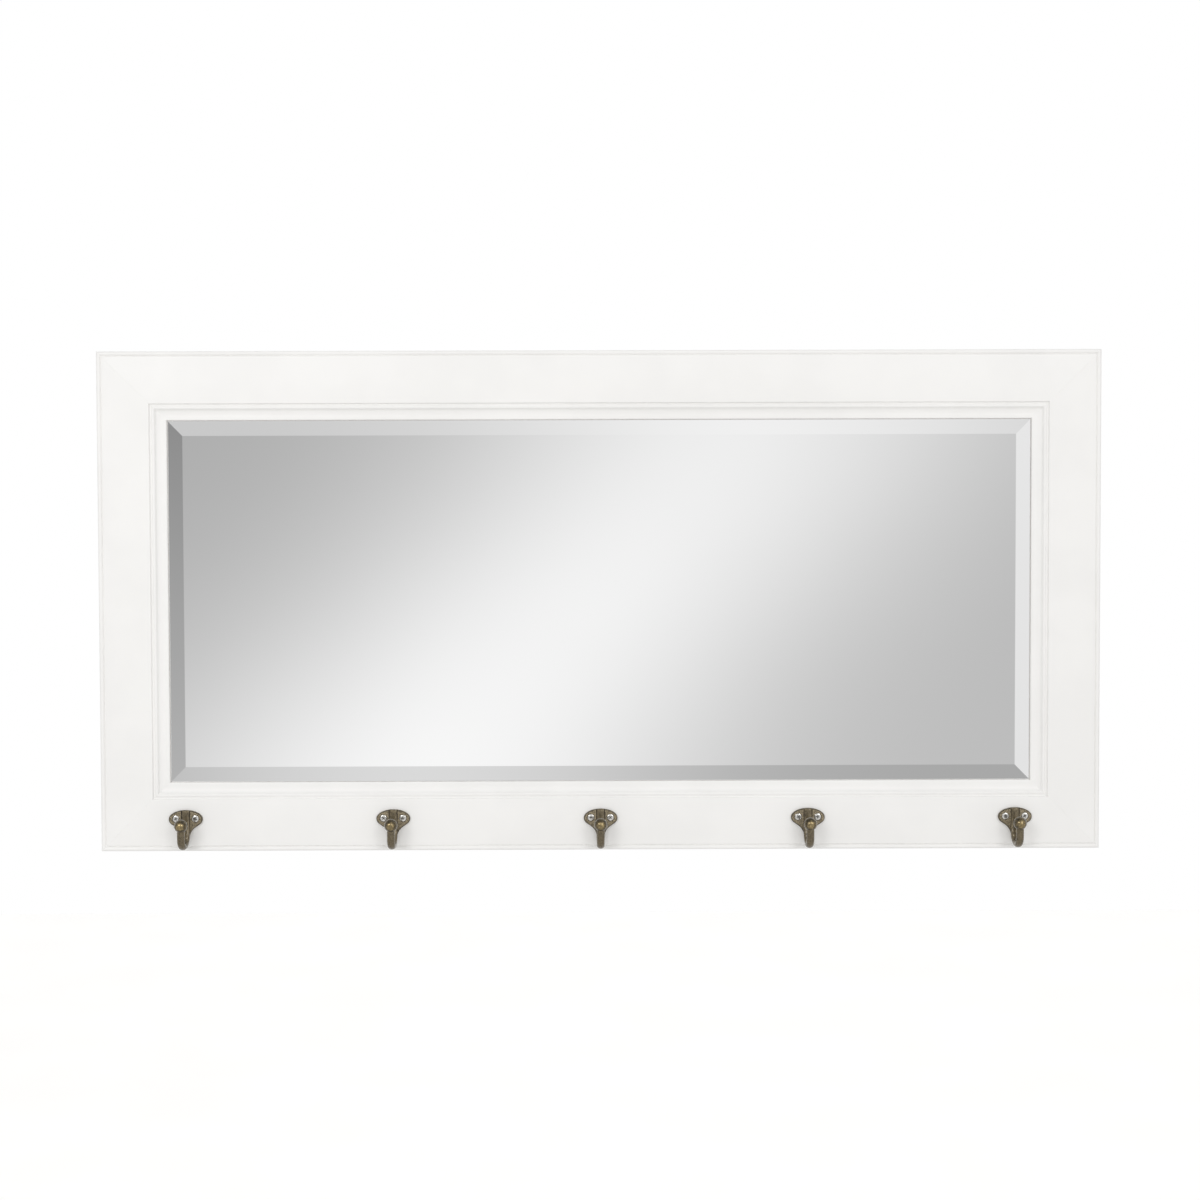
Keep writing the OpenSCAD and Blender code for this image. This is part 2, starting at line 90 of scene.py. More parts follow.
def power(name, description, watts):
    """The power of a lamp that the user may change."""
    return FloatProperty(name=name, description=description, default=watts, subtype="POWER")


def colour(name, description, hex_colour):
    """A colour that the user may change."""
    return FloatVectorProperty(name=name, description=description, subtype="COLOR", size=3, min=0, max=1,
                               default=linear(hex_colour))


class MouldingSizes(bpy.types.PropertyGroup):
    rail_w: length("Rail width", "Width of the moulding, outer edge to sight edge", 62.5)
    bead_r: length("Bead radius", "Radius of the bead along the outer edge", 2.1)
    groove_w: length("Groove width", "Floor width of the groove beside the bead", 0.6)
    groove_d: length("Groove depth", "Depth of the groove beside the bead", 1.2)
    face_r: length("Face radius", "Radius that eases both edges of the flat face", 0.5)
    quirk_w: length("Quirk width", "Width of the quirk that ends the flat face", 2)
    quirk_d: length("Quirk depth", "Depth of the quirk", 2)
    round_w: length("Small round width", "Width of the small round inside the quirk", 2.9)
    round_h: length("Small round height", "Height of the small round above the quirk", 1)
    cove_w: length("Cove width", "Width of the cove that falls to the lip", 6.1)
    lip_drop: length("Lip drop", "Depth of the lip below the face", 4.8)
    lip_w: length("Lip width", "Width of the lip with its rounded sight edge", 3.9)
    lip_t: length("Lip thickness", "Thickness of the lip in front of the glass", 2.6)
    sight_r: length("Sight edge radius", "Radius of the sight edge", 1.2)
    back_ease: length("Back chamfer", "Chamfer along the outer back edge", 1)
    rebate: length("Rebate width", "Width of the rebate that holds the glass", 6)
    arris: length("Softened arris", "How far the lacquer rounds every sharp edge", 0.14)


class HookSizes(bpy.types.PropertyGroup):
    above_edge: length("Height on the rail", "Top of the plate above the frame's lower edge", 38)
    end_inset: length("End inset", "Distance of the outer hooks from the ends of the frame", 77.8)
    plate_w: length("Plate width", "Width of the plate across its lobes", 30.8)
    plate_t: length("Plate thickness", "Thickness of the plate", 2.4)
    crown_h: length("Crown height", "Height of the plate's elliptic top", 8.2)
    lobe_r: length("Lobe radius", "Radius of the plate's round lobes", 6.05)
    flank_r: length("Flank radius", "Radius of the hollow flanks", 12)
    edge_r: length("Edge radius", "Rounding of the plate's front edge", 0.9)
    rib_w: length("Rib width", "Width of the rib between the flutes", 6.6)
    rib_t: length("Rib height", "Height of the rib's crest above the frame", 3.1)
    flute_r: length("Flute radius", "Radius of the two flutes beside the rib", 0.5)
    arm_w: length("Arm width", "Width of the arm above its bend", 7.8)
    arm_t: length("Arm thickness", "Thickness of the arm", 5.8)
    bend_w: length("Bend width", "Width of the arm at the bottom of its bend", 7.2)
    neck_w: length("Neck width", "Width of the arm where it meets the ball", 7)
    hook_h: length("Hook height", "Height of the whole hook", 34.8)
    ball_d: length("Ball diameter", "Diameter of the ball", 12)
    ball_reach: length("Ball reach", "Reach of the ball's centre in front of the frame", 21)
    ball_drop: length("Ball drop", "Depth of the ball's centre below the plate's top", 11.6)
    screw_pitch: length("Screw distance", "Distance between the two screws", 17.8)
    screw_drop: length("Screw drop", "Depth of the screws below the plate's top", 8)
    count: IntProperty(name="Hooks", description="Number of hooks along the rail", default=5, min=2)


class HardwareSizes(bpy.types.PropertyGroup):
    screw_head_d: length("Screw head", "Head diameter of the countersunk screws", 6)
    screw_d: length("Screw shank", "Shank diameter of every screw", 2.9)
    screw_l: length("Screw length", "Length of the countersunk screws", 15)
    recess_l: length("Cross recess", "Length of the cross recess in a head", 3.3)
    recess_w: length("Recess slot", "Width of the cross recess's wings", 0.9)
    pan_head_d: length("Pan head", "Head diameter of the pan-head screws", 7)
    pan_head_h: length("Pan head height", "Head height of the pan-head screws", 2)
    pan_screw_l: length("Pan screw length", "Length of a pan-head screw below its head", 13)
    strap_w: length("Strap width", "Width of a hanger's strap", 13)
    strap_t: length("Strap thickness", "Steel thickness of the strap", 1.2)
    strap_screw_drop: length("Upper strap screw", "Distance of the upper screw below the ring's axis", 28)
    strap_screw_pitch: length("Strap screw distance", "Distance between the two screws of a strap", 16)
    ring_wire_d: length("Ring wire", "Wire diameter of a ring", 3)
    ring_w: length("Ring width", "Width of a ring between the middles of its wire", 25)
    ring_l: length("Ring reach", "Reach of a ring from its axis to the middle of its wire", 20.5)
    ring_bend_r: length("Ring corner", "Bend radius of a ring's two corners", 4)
    bumper_d: length("Bumper foot", "Diameter of a bumper at its foot", 12)
    bumper_face_d: length("Bumper face", "Diameter of a bumper where it touches the wall", 9.6)
    bumper_inset: length("Bumper inset", "Distance of a bumper from both outer edges", 13)
    nail_leg: length("Corner nail leg", "Leg of the angled nails across the mitres", 7)
    nail_t: length("Corner nail steel", "Steel thickness of the angled nails", 0.6)
    nail_depth: length("Corner nail slot", "Depth of an angled nail's slot from the back", 9.5)
    nail_first: length("First corner nail", "Distance of the outer nail from each outer edge", 22)
    nail_pitch: length("Corner nail distance", "Distance between the nails of a corner", 14)


class FinishColours(bpy.types.PropertyGroup):
    lacquer: colour("Lacquer", "White lacquer on the moulding", "#f5f4f2")
    fibreboard: colour("Fibreboard", "Bare fibreboard on the back of the moulding", "#b3936c")
    silver: colour("Silvering", "Silver behind the glass", "#f4f4f4")
    hardboard: colour("Hardboard", "Smooth side of the backing board", "#7d5a3a")
    cast: colour("Cast brass", "Aged brass of the plate, left as cast", "#7d735f")
    patina: colour("Patina", "Dark patina left in flutes and countersinks", "#2e261c")
    brushed: colour("Brushed brass", "Aged brass of the brushed arm", "#675c46")
    polished: colour("Polished brass", "Aged brass of the polished ball", "#7e6e4a")
    nickel: colour("Nickel", "Nickel plate of the hook screws", "#eceae5")
    zinc: colour("Zinc", "Bright zinc plate of the hangers", "#c3c7c9")
    steel: colour("Steel", "Bare steel of nails and points", "#a3a5a6")
    rubber: colour("Rubber", "Rubber of the bumpers", "#333231")


class StudioSettings(bpy.types.PropertyGroup):
    camera_distance: length("Camera distance", "Distance of the camera from the face of the frame", 1597)
    camera_rise: angle("Camera rise", "Camera's elevation above the middle", 1.8)
    camera_side: angle("Camera side", "Camera's angle to the left of the middle", 0.2)
    camera_roll: angle("Camera roll", "Lean of the camera about its line of sight", -0.17)
    aim_rise: length("Aim up", "Height of the camera's aim above the middle of the frame", 0.9)
    view_angle: angle("View angle", "Angle of view across the picture", 37.82292)
    left_lamp: power("Left lamp", "Power of the soft lamp at the upper left", 11)
    right_lamp: power("Right lamp", "Power of the soft lamp at the upper right", 52)
    fill: FloatProperty(name="Fill", description="Level of the even light from the front", default=0.875)
    floor_drop: length("Floor", "Distance of the floor below the hanging points", 1500)


# ---------------------------------------------------------------- modelling

def only(piece):
    """Leaves edit mode and makes one piece the selected and active one."""
    if bpy.context.mode != "OBJECT":
        bpy.ops.object.mode_set(mode="OBJECT")
    bpy.ops.object.select_all(action="DESELECT")
    if piece:
        piece.select_set(True)
        bpy.context.view_layer.objects.active = piece


def edit(piece, kind="VERT"):
    """Opens one piece in edit mode with all of it selected."""
    only(piece)
    bpy.ops.object.mode_set(mode="EDIT")
    bpy.ops.mesh.select_mode(type=kind)
    bpy.ops.mesh.select_all(action="SELECT")


def modify(piece, kind, **settings):
    """Adds a modifier with its settings to a piece and applies it."""
    only(piece)
    bpy.ops.object.modifier_add(type=kind)
    modifier = piece.modifiers[-1]
    for key, value in settings.items():
        setattr(modifier, key, value)
    bpy.ops.object.modifier_apply(modifier=modifier.name)


def primitive(kind, name, **settings):
    """Adds a primitive at its size and place and puts that place in its mesh."""
    only(None)
    getattr(bpy.ops.mesh, f"primitive_{kind}_add")(**settings)
    bpy.ops.object.transform_apply()
    piece = bpy.context.object
    piece.name = piece.data.name = name
    return piece


def arc(middle, radius, start, end, steps):
    """Points of an arc in degrees, or of an ellipse where the radius is a pair."""
    across, up = radius if isinstance(radius, tuple) else (radius, radius)
    turns = [radians(start + (end - start) * i / steps) for i in range(steps + 1)]
    return [(middle[0] + across * cos(a), middle[1] + up * sin(a)) for a in turns]


def pull(step):
    """Extrudes what is selected by a step."""
    bpy.ops.mesh.extrude_region_move(TRANSFORM_OT_translate={"value": step})


def trace(name, points, fill=True):
    """Draws an outline as by hand, one vertex extruded from point to point, and fills it."""
    piece = primitive("plane", name, size=MM, location=points[0])
    edit(piece)
    bpy.ops.mesh.merge(type="CENTER")
    for here, there in zip(points, points[1:]):
        pull(Vector(there) - Vector(here))
    bpy.ops.mesh.select_all(action="SELECT")
    if fill:
        bpy.ops.mesh.edge_face_add()
    return piece


def pick(piece, kind, test):
    """Selects the edges or faces of a piece in edit mode that pass a test."""
    bpy.ops.mesh.select_mode(type=kind)
    bpy.ops.mesh.select_all(action="DESELECT")
    shape = bmesh.from_edit_mesh(piece.data)
    for part in {"EDGE": shape.edges, "FACE": shape.faces}[kind]:
        if test(part):
            part.select_set(True)
    bmesh.update_edit_mesh(piece.data)


def turned(name, profile, place, steps=48):
    """A turned body: its half profile of (radius, y) is traced and spun about an axis along Y."""
    piece = trace(name, [(place[0] + r, y, place[1]) for r, y in profile], fill=False)
    bpy.ops.mesh.spin(steps=steps, angle=2 * pi, center=(place[0], 0, place[1]), axis=(0, 1, 0))
    close(piece)
    return piece


def close(piece, smooth=35):
    """Merges doubles, turns the faces outward and shades smooth below an angle."""
    edit(piece)
    bpy.ops.mesh.remove_doubles(threshold=2e-6)
    bpy.ops.mesh.normals_make_consistent(inside=False)
    bpy.ops.object.mode_set(mode="OBJECT")
    bpy.ops.object.shade_smooth_by_angle(angle=radians(smooth))


def soften(piece, width):
    """Rounds every sharp edge."""
    modify(piece, "BEVEL", width=width, segments=2, limit_method="ANGLE", angle_limit=radians(30))


def combine(piece, tool, operation):
    """Joins a tool to a piece or cuts it out of it; the tool's own finish stays on its faces."""
    modify(piece, "BOOLEAN", operation=operation, object=tool, solver="EXACT", material_mode="TRANSFER")
    bpy.data.objects.remove(tool)


def copy_of(piece, name, shift, turn=0):
    """A copy with its own mesh, turned about the Y axis and then moved."""
    only(piece)
    bpy.ops.object.duplicate(linked=False)
    twin = bpy.context.object
    twin.name = twin.data.name = name
    if turn:
        bpy.ops.transform.rotate(value=-radians(turn), orient_axis="Y", center_override=(0, 0, 0))
    bpy.ops.transform.translate(value=shift)
    bpy.ops.object.transform_apply()
    return twin


def joined(pieces, name):
    """Several solids as one piece."""
    only(pieces[0])
    for piece in pieces:
        piece.select_set(True)
    bpy.ops.object.join()
    pieces[0].name = pieces[0].data.name = name
    return pieces[0]


def wear(piece, *finishes):
    """Gives a piece its finishes, in the order of its material slots."""
    piece.data.materials.clear()
    for finish in finishes:
        piece.data.materials.append(finish)


def settle(piece, body, slot, *nodes):
    """Puts a piece under the CAD body that carries it and hides the CAD nodes it stands for; the slot is not
    used.
    """
    missing = [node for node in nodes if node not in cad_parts]
    if missing:
        raise RuntimeError(f"{piece.name}: the frame has no node {missing[0]}")
    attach(piece, body)
    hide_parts(*nodes)


# ---------------------------------------------------------------- finishes

def node(tree, kind, inputs=None, **settings):
    """Adds a node with its settings, linked to other nodes' outputs or given values. Returns its outputs."""
    made = tree.nodes.new(f"ShaderNode{kind}")
    for key, value in settings.items():
        setattr(made, key, value)
    for socket, value in (inputs or {}).items():
        if isinstance(value, bpy.types.NodeSocket):
            tree.links.new(value, made.inputs[socket])
        else:
            made.inputs[socket].default_value = value
    return made.outputs


def blank(name, values):
    """A new material with its shader's own values. Returns it, its nodes and its place."""
    material = bpy.data.materials.new(name)
    material.use_nodes = True
    tree = material.node_tree
    for socket, value in values.items():
        tree.nodes["Principled BSDF"].inputs[socket.replace("_", " ")].default_value = value
    return material, tree, node(tree, "TexCoord")["Object"]


def shade(rgb, factor):
    """A lighter or darker shade of a linear colour."""
    return (*[min(1, c * factor) for c in rgb], 1)


def speckle(tree, place, size, low, high, detail=2, stretch=(1, 1, 1)):
    """Soft specks of a size in millimetres, from 0 to 1, with the contrast set by low and high."""
    place = node(tree, "Mapping", {"Vector": place, "Scale": stretch})[0]
    specks = node(tree, "TexNoise", {"Vector": place, "Scale": 1000 / size, "Detail": detail})
    level = node(tree, "MapRange", {0: specks["Fac"], 1: low, 2: high},
                 interpolation_type="SMOOTHSTEP")
    return level[0]


def cover(tree, tone, specks, relief):
    """Gives the shader its colour and raises the surface by the specks, with a depth in millimetres."""
    shader = tree.nodes["Principled BSDF"]
    tree.links.new(tone, shader.inputs["Base Color"])
    if relief:
        bump = node(tree, "Bump", {"Height": specks, "Distance": relief * MM, "Strength": 1})
        tree.links.new(bump[0], shader.inputs["Normal"])


def speckled(name, rgb, ground, *layers, relief=0, **values):
    """A material in shades of one colour: a ground under layers of specks, and the last layer's relief.

    A layer is (size, low, high, shade) and may go on with the specks' detail and stretch. Where its shade
    is None it shows in the relief alone. The values are the shader's own.
    """
    material, tree, place = blank(name, values)
    tone = shade(rgb, ground)
    for size, low, high, factor, *more in layers:
        specks = speckle(tree, place, size, low, high, *more)
        if factor is not None:
            tone = node(tree, "Mix", {0: specks, 6: tone, 7: shade(rgb, factor)},
                        data_type="RGBA")[2]
    cover(tree, tone, specks, relief)
    return material


def white_lacquer(colours):
    """Polyurethane lacquer, sprayed: satin, a faint orange peel and hardly any change of tone."""
    # Real orange peel is about 1 mm across and a few microns deep
    return speckled("polyurethane lacquer, sprayed", colours.lacquer, 1, (60, 0.35, 0.65, 0.975),
                    (1.6, 0, 1, None), relief=0.006, Roughness=0.42, IOR=1.5)


def bare_fibreboard(colours):
    """Medium-density fibreboard, sawn and unpainted: dull tan patches under fine felted fibres."""
    return speckled("fibreboard, sawn", colours.fibreboard, 1, (18, 0.35, 0.7, 0.84),
                    (0.9, 0.3, 0.7, 0.62, 5), relief=0.05, Roughness=0.85, IOR=1.45)


def silvered_glass(colours):
    """Float glass, silvered: a clean mirror with the faint cool tone of the glass."""
    # Roller waves of float glass, a few hundred millimetres long and hardly deep enough to bend a line
    return speckled("float glass, silvered", colours.silver, 1, (260, 0.3, 0.7, 0.985), Metallic=1,
                    Roughness=0.012)


def pressed_hardboard(colours):
    """Hardboard, hot-pressed: smooth, dark brown clouds, with flecks of fibre and a slight sheen."""
    return speckled("hardboard, hot-pressed", colours.hardboard, 1, (70, 0.3, 0.7, 0.8),
                    (1.1, 0.42, 0.72, 1.45, 6, (1, 1, 0.45)), relief=0.02, Roughness=0.55, IOR=1.5)


def cast_brass(colours):
    """Brass plate on a zinc casting, antiqued: grainy grey-brown, khaki high spots, under clear lacquer."""
    return speckled("antique brass plate, as cast", colours.cast, 0.33, (1.7, 0.38, 0.64, 1.15, 3),
                    (0.6, 0.36, 0.66, 2.1, 3), relief=0.09, Metallic=1, Roughness=0.5, Coat_Weight=0.5,
                    Coat_Roughness=0.3)


def painted_edge_shade(colours):
    """The same casting on its rounded edges, darker and duller: painted shade along the plate's outline."""
    return speckled("antique brass plate, shaded edge", colours.cast, 0.28, (1.1, 0.34, 0.66, 0.8, 3),
                    relief=0.03, Metallic=1, Roughness=0.5, Coat_Weight=0.5, Coat_Roughness=0.3)


def dark_patina(colours):
    """Antiquing wash left in the hollows: nearly black brown and dull."""
    return speckled("antiquing wash, dried", colours.patina, 1, (0.5, 0.35, 0.7, 2.2), Metallic=0.3,
                    Roughness=0.7)


def brushed_brass(colours):
    """The same plate, brushed on the arm: brown, mottled, its lacquer pale where it is seen edge on."""
    return speckled("antique brass plate, brushed", colours.brushed, 0.35, (1.5, 0.36, 0.66, 1.1, 3),
                    (0.4, 0.3, 0.7, 1.5, 3, (1, 0.2, 0.2)), relief=0.02, Metallic=1, Roughness=0.4,
                    Coat_Weight=1, Coat_Roughness=0.22)


def polished_brass(colours, front):
    """The same plate on the ball, under lacquer: a painted highlight at its front and painted shade round its
    sides.
    """
    material, tree, place = blank("antique brass plate, polished", {
        "Metallic": 1, "Roughness": 0.3, "Coat_Weight": 1, "Coat_Roughness": 0.2})
    clouds = speckle(tree, place, 1.6, 0.36, 0.6, 4)
    # Painted highlight and painted shade: by depth along Y the ball goes from bright at its front to dark
    # round its sides
    depth = node(tree, "SeparateXYZ", {0: place})[1]
    side = node(tree, "MapRange", {0: depth, 1: front - 0.1 * MM, 2: front + 2 * MM},
                interpolation_type="SMOOTHSTEP")[0]
    painted_highlight_tone, painted_shade_tone = [node(tree, "Mix", {0: clouds, 6: shade(colours.polished, pale),
                                       7: shade(colours.polished, dark)}, data_type="RGBA")[2]
                    for pale, dark in ((2.2, 1.1), (0.75, 0.25))]
    tone = node(tree, "Mix", {0: side, 6: painted_highlight_tone, 7: painted_shade_tone}, data_type="RGBA")[2]
    cover(tree, tone, clouds, 0.008)
    return material


def nickel_plate(colours):
    """Steel, nickel plated: bright and slightly warm, with the fine marks of a tumbled screw."""
    return speckled("steel, nickel plated", colours.nickel, 1, (0.3, 0.35, 0.7, 0.82, 3), relief=0.004,
                    Metallic=1, Roughness=0.22)


def painted_recess_shade(colours):
    """Nickel plate in the cross recess, grey and nearly matt: painted shade in the recess."""
    return speckled("nickel plate, shaded recess", colours.nickel, 0.5, (0.4, 0.3, 0.7, 0.26), Metallic=0.5,
                    Roughness=0.6)


def zinc_plate(colours):
    """Steel, zinc plated: grey with darker clouds, a fine grain and a satin shine."""
    return speckled("steel, zinc plated", colours.zinc, 1, (5, 0.35, 0.7, 0.74, 4), (0.25, 0, 1, None),
                    relief=0.004, Metallic=1, Roughness=0.34)


def bare_steel(colours):
    """Strip steel, blanked: dull grey with rolling streaks."""
    return speckled("strip steel, blanked", colours.steel, 1, (0.6, 0.3, 0.7, 0.7, 3, (0.2, 1, 1)),
                    relief=0.005, Metallic=1, Roughness=0.45)


def moulded_rubber(colours):
    """Rubber, compression moulded: dark, dull and slightly dusty."""
    return speckled("rubber, compression moulded", colours.rubber, 1, (1.2, 0.4, 0.75, 1.7, 4), relief=0.01,
                    Roughness=0.8, IOR=1.5)


# ---------------------------------------------------------------- moulding

def moulding_section(s):
    """Section of the moulding: points (distance from the outer edge, height above the back)."""
    depth = BACK_Y - FACE_Y
    quirk = s.rail_w - s.lip_w - s.cove_w - s.round_w - s.quirk_w
    groove = 2 * s.bead_r + s.groove_w
    wall = s.rail_w - s.rebate
    lip_back = depth - s.lip_drop - s.lip_t
    # Degrees: the quirk's hollow floor runs into the small round, which slopes down into the cove
    bead_end, hollow_end, round_start, round_end, cove_start = 40, 145, 138, 40, 205
    hollow_w = s.quirk_w + s.round_w / 2 * (1 + cos(radians(hollow_end)))
    hollow_h = s.round_h * sin(radians(hollow_end))
    return [
        (s.back_ease, 0), (0, s.back_ease),
        *arc((s.bead_r, depth - s.bead_r), s.bead_r, 180, bead_end, 18),
        (2 * s.bead_r, depth - s.groove_d), (groove, depth - s.groove_d),
        *arc((groove + s.face_r, depth - s.face_r), s.face_r, 180, 90, 6),
        *arc((quirk - s.face_r, depth - s.face_r), s.face_r, 90, 0, 6),
        *arc((quirk + hollow_w / 2, depth - s.quirk_d + hollow_h), (hollow_w / 2, hollow_h), 180, 360, 14),
        *arc((quirk + s.quirk_w + s.round_w / 2, depth - s.quirk_d), (s.round_w / 2, s.round_h),
             round_start, round_end, 12),
        *arc((s.rail_w - s.lip_w, depth - s.quirk_d), (s.cove_w, s.lip_drop - s.quirk_d),
             cove_start, 270, 14),
        *arc((s.rail_w - s.sight_r, depth - s.lip_drop - s.sight_r), s.sight_r, 90, 0, 10),
        (s.rail_w, lip_back), (wall, lip_back), (wall, 0),
    ]


def nail_slot(h, end, half, index, bare):
    """Tool for the slot of an angled nail at one end of a rail that lies along X below Z 0."""
    at = h.nail_first + index * h.nail_pitch
    leg, thick = h.nail_leg, h.nail_t
    # The nail's play differs a little along X and Z, so that no edge of the tool lies in the mitre
    a, b = 0.03 * MM, 0.02 * MM
    bend = [(a, b), (-leg - a, b), (-leg - a, -thick - b), (-thick - a, -thick - b), (-thick - a, -leg - b),
            (a, -leg - b)]
    tool = trace("slot", [(end * (half - at + x), BACK_Y - h.nail_depth, z - at) for x, z in bend])
    pull((0, h.nail_depth + MM, 0))
    close(tool)
    wear(tool, bare)
    return tool


def mitred_rail(s, h, run, lacquer, bare):
    """A length of moulding along X with its outer edge at Z 0, slotted for the nails and mitred."""
    half = run / 2
    rail = trace("moulding", [(-half, BACK_Y - up, -u) for u, up in moulding_section(s)])
    pull((run, 0, 0))
    close(rail)
    wear(rail, lacquer, bare)
    for end in (-1, 1):
        for index in (0, 1):
            combine(rail, nail_slot(h, end, half, index, bare), "DIFFERENCE")
    bpy.ops.object.mode_set(mode="EDIT")
    for end in (-1, 1):
        bpy.ops.mesh.select_all(action="SELECT")
        bpy.ops.mesh.bisect(plane_co=(end * half, 0, 0), plane_no=(-end, 0, 1), use_fill=True,
                            clear_inner=True)
    close(rail)
    soften(rail, s.arris)
    return rail


def bare_back(rail, wall):
    """Leaves the back, its mitre and slot edges and the rebate of a rail bare of lacquer."""
    in_rebate = BACK_Y - 13 * MM

    def unpainted(face):
        middle = face.calc_center_median()
        back = face.normal.y > 0.9 or (face.normal.y > 0.2 and face.normal.z < 0.1)
        return back or (middle.z < -wall + MM / 2 and middle.y > in_rebate and face.normal.z < -0.9)

    edit(rail)
    pick(rail, "FACE", unpainted)
    rail.active_material_index = 1
    bpy.ops.object.material_slot_assign()
    bpy.ops.object.mode_set(mode="OBJECT")


class COAT_MIRROR_OT_moulding(bpy.types.Operator):
    """Traces the moulding's section, runs it out, mitres it and sets the four lengths round the glass"""

    bl_idname = "coat_mirror.moulding"
    bl_label = "Frame moulding"

    def execute(self, context):
        scene = context.scene
        sizes, hardware, colours = scene.mirror_moulding, scene.mirror_hardware, scene.mirror_finishes
        lacquer, bare = white_lacquer(colours), bare_fibreboard(colours)
        rails = (("top", "rail", 0, TOP_Z, 0), ("bottom", "rail", 0, BOTTOM_Z, 180))
        stiles = (("right", "stile", FRAME_W / 2, MID_Z, 90), ("left", "stile", -FRAME_W / 2, MID_Z, -90))
        for run, pair in ((FRAME_W, rails), (TOP_Z - BOTTOM_Z, stiles)):
            model = mitred_rail(sizes, hardware, run, lacquer, bare)
            bare_back(model, sizes.rail_w - sizes.rebate)
            close(model)
            for side, kind, x, z, turn in pair:
                rail = copy_of(model, f"moulding_{side}", shift=(x, 0, z), turn=turn)
                settle(rail, "mirror", "white_lacquered_wood", f"{side}_{kind}")
            bpy.data.objects.remove(model)
        return {"FINISHED"}


class COAT_MIRROR_OT_glass(bpy.types.Operator):
    """Silvers the bevelled glass and presses the hardboard behind it"""

    bl_idname = "coat_mirror.glass"
    bl_label = "Mirror glass and backing board"

    def execute(self, context):
        colours = context.scene.mirror_finishes
        wear(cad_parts["mirror_glass"], silvered_glass(colours))
        wear(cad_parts["backing_board"], pressed_hardboard(colours))
        return {"FINISHED"}


# ---------------------------------------------------------------- hooks

# Room between the back of the arm's sections and the face of the frame
ARM_LIFT = 0.2 * MM
# Radius of the holes for screws in plates and straps
SCREW_HOLE_R = 1.65 * MM


def ease(t):
    """A share from 0 to 1 that starts and stops softly."""
    return t * t * (3 - 2 * t)


def bend_radius(s):
    """Radius of the arm's middle line round its bend."""
    return (s.ball_reach - ARM_LIFT - s.arm_t / 2) / 2


def plate_outline(s):
    """Outline of a plate as (x, z) from the middle of its top: crown, lobes, hollow flanks, tongue."""
    # The lobes meet the flanks at 55 degrees, and the flanks end a little inside the arm's sides
    join, tuck, tongue_l = 55, 0.35 * MM, 2 * MM
    bend_drop = s.hook_h - s.arm_t / 2 - bend_radius(s)
    lobe_x = s.plate_w / 2 - s.lobe_r
    flank_x = s.arm_w / 2 - tuck + s.flank_r
    reach = (flank_x - lobe_x) * cos(radians(join)) - s.lobe_r - s.flank_r
    flank_z = reach / sin(radians(join)) - s.crown_h
    start = asin((-bend_drop - flank_z) / s.flank_r)
    tongue_x = flank_x - s.flank_r * cos(start)
    half = [
        *arc((0, -bend_drop), (tongue_x, tongue_l), 285, 345, 8),
        *arc((flank_x, flank_z), s.flank_r, 180 - start * 180 / pi, 180 - join, 20),
        *arc((lobe_x, -s.crown_h), s.lobe_r, -join, 0, 12)[1:],
        *arc((0, -s.crown_h), (s.plate_w / 2, s.crown_h), 5, 87, 20),
    ]
    return half + [(-x, z) for x, z in reversed(half)]


def countersink(s, x, z, patina):
    """Tool for a countersunk bore through the plate."""
    hole_r, sink_r, front, past = SCREW_HOLE_R, 3.35 * MM, FACE_Y - s.plate_t, MM
    tool = turned("bore", [(0, FACE_Y + past), (hole_r, FACE_Y + past), (hole_r, front + sink_r - hole_r),
                           (sink_r, front), (sink_r + past, front - past), (0, front - past)], (x, z))
    wear(tool, patina)
    return tool


def fluted_plate(s, top, finishes):
    """The cast plate: rounded edge, two flutes beside the rib, two countersunk bores."""
    cast, edge_shade, patina = finishes
    front, back_edge, overlap, flute_l = FACE_Y - s.plate_t, 0.3 * MM, 0.15 * MM, 17 * MM
    plate = trace("plate", [(x, FACE_Y, top + z) for x, z in plate_outline(s)])
    wear(plate, cast, edge_shade)
    pull((0, -s.plate_t, 0))
    # The bevelled edges take the second finish, painted shade along the plate's outline
    for y, offset, segments in ((front, s.edge_r, 6), (FACE_Y, back_edge, 2)):
        pick(plate, "EDGE", lambda edge: all(abs(v.co.y - y) < 1e-6 for v in edge.verts))
        bpy.ops.mesh.bevel(offset=offset, segments=segments, material=1, affect="EDGES")
    close(plate)
    flute_x = s.rib_w / 2 + s.flute_r - overlap
    # A flute's axis runs down from the plate's face and leans out, so the flute fades downward
    lean = atan(s.flute_r / flute_l)
    for side in (-1, 1):
        middle = (side * flute_x, front - sin(lean) * flute_l / 2, top - cos(lean) * flute_l / 2)
        flute = primitive("cylinder", "flute", vertices=24, radius=s.flute_r, depth=flute_l + 2 * MM,
                          location=middle, rotation=(-lean, 0, 0))
        wear(flute, patina)
        combine(plate, flute, "DIFFERENCE")
        combine(plate, countersink(s, side * s.screw_pitch / 2, top - s.screw_drop, patina), "DIFFERENCE")
    return plate


def arm_section(width, thick, flat, sides=40):
    """Section of the arm as (across, out): an ellipse with flat sides where the plate meets it."""
    turns = [radians(90 + 360 * (i + 0.5) / sides) for i in range(sides)]
    keep = cos(radians(flat))
    return [(max(-1, min(1, cos(a) / keep)) * width / 2, -sin(a) * thick / 2) for a in turns]


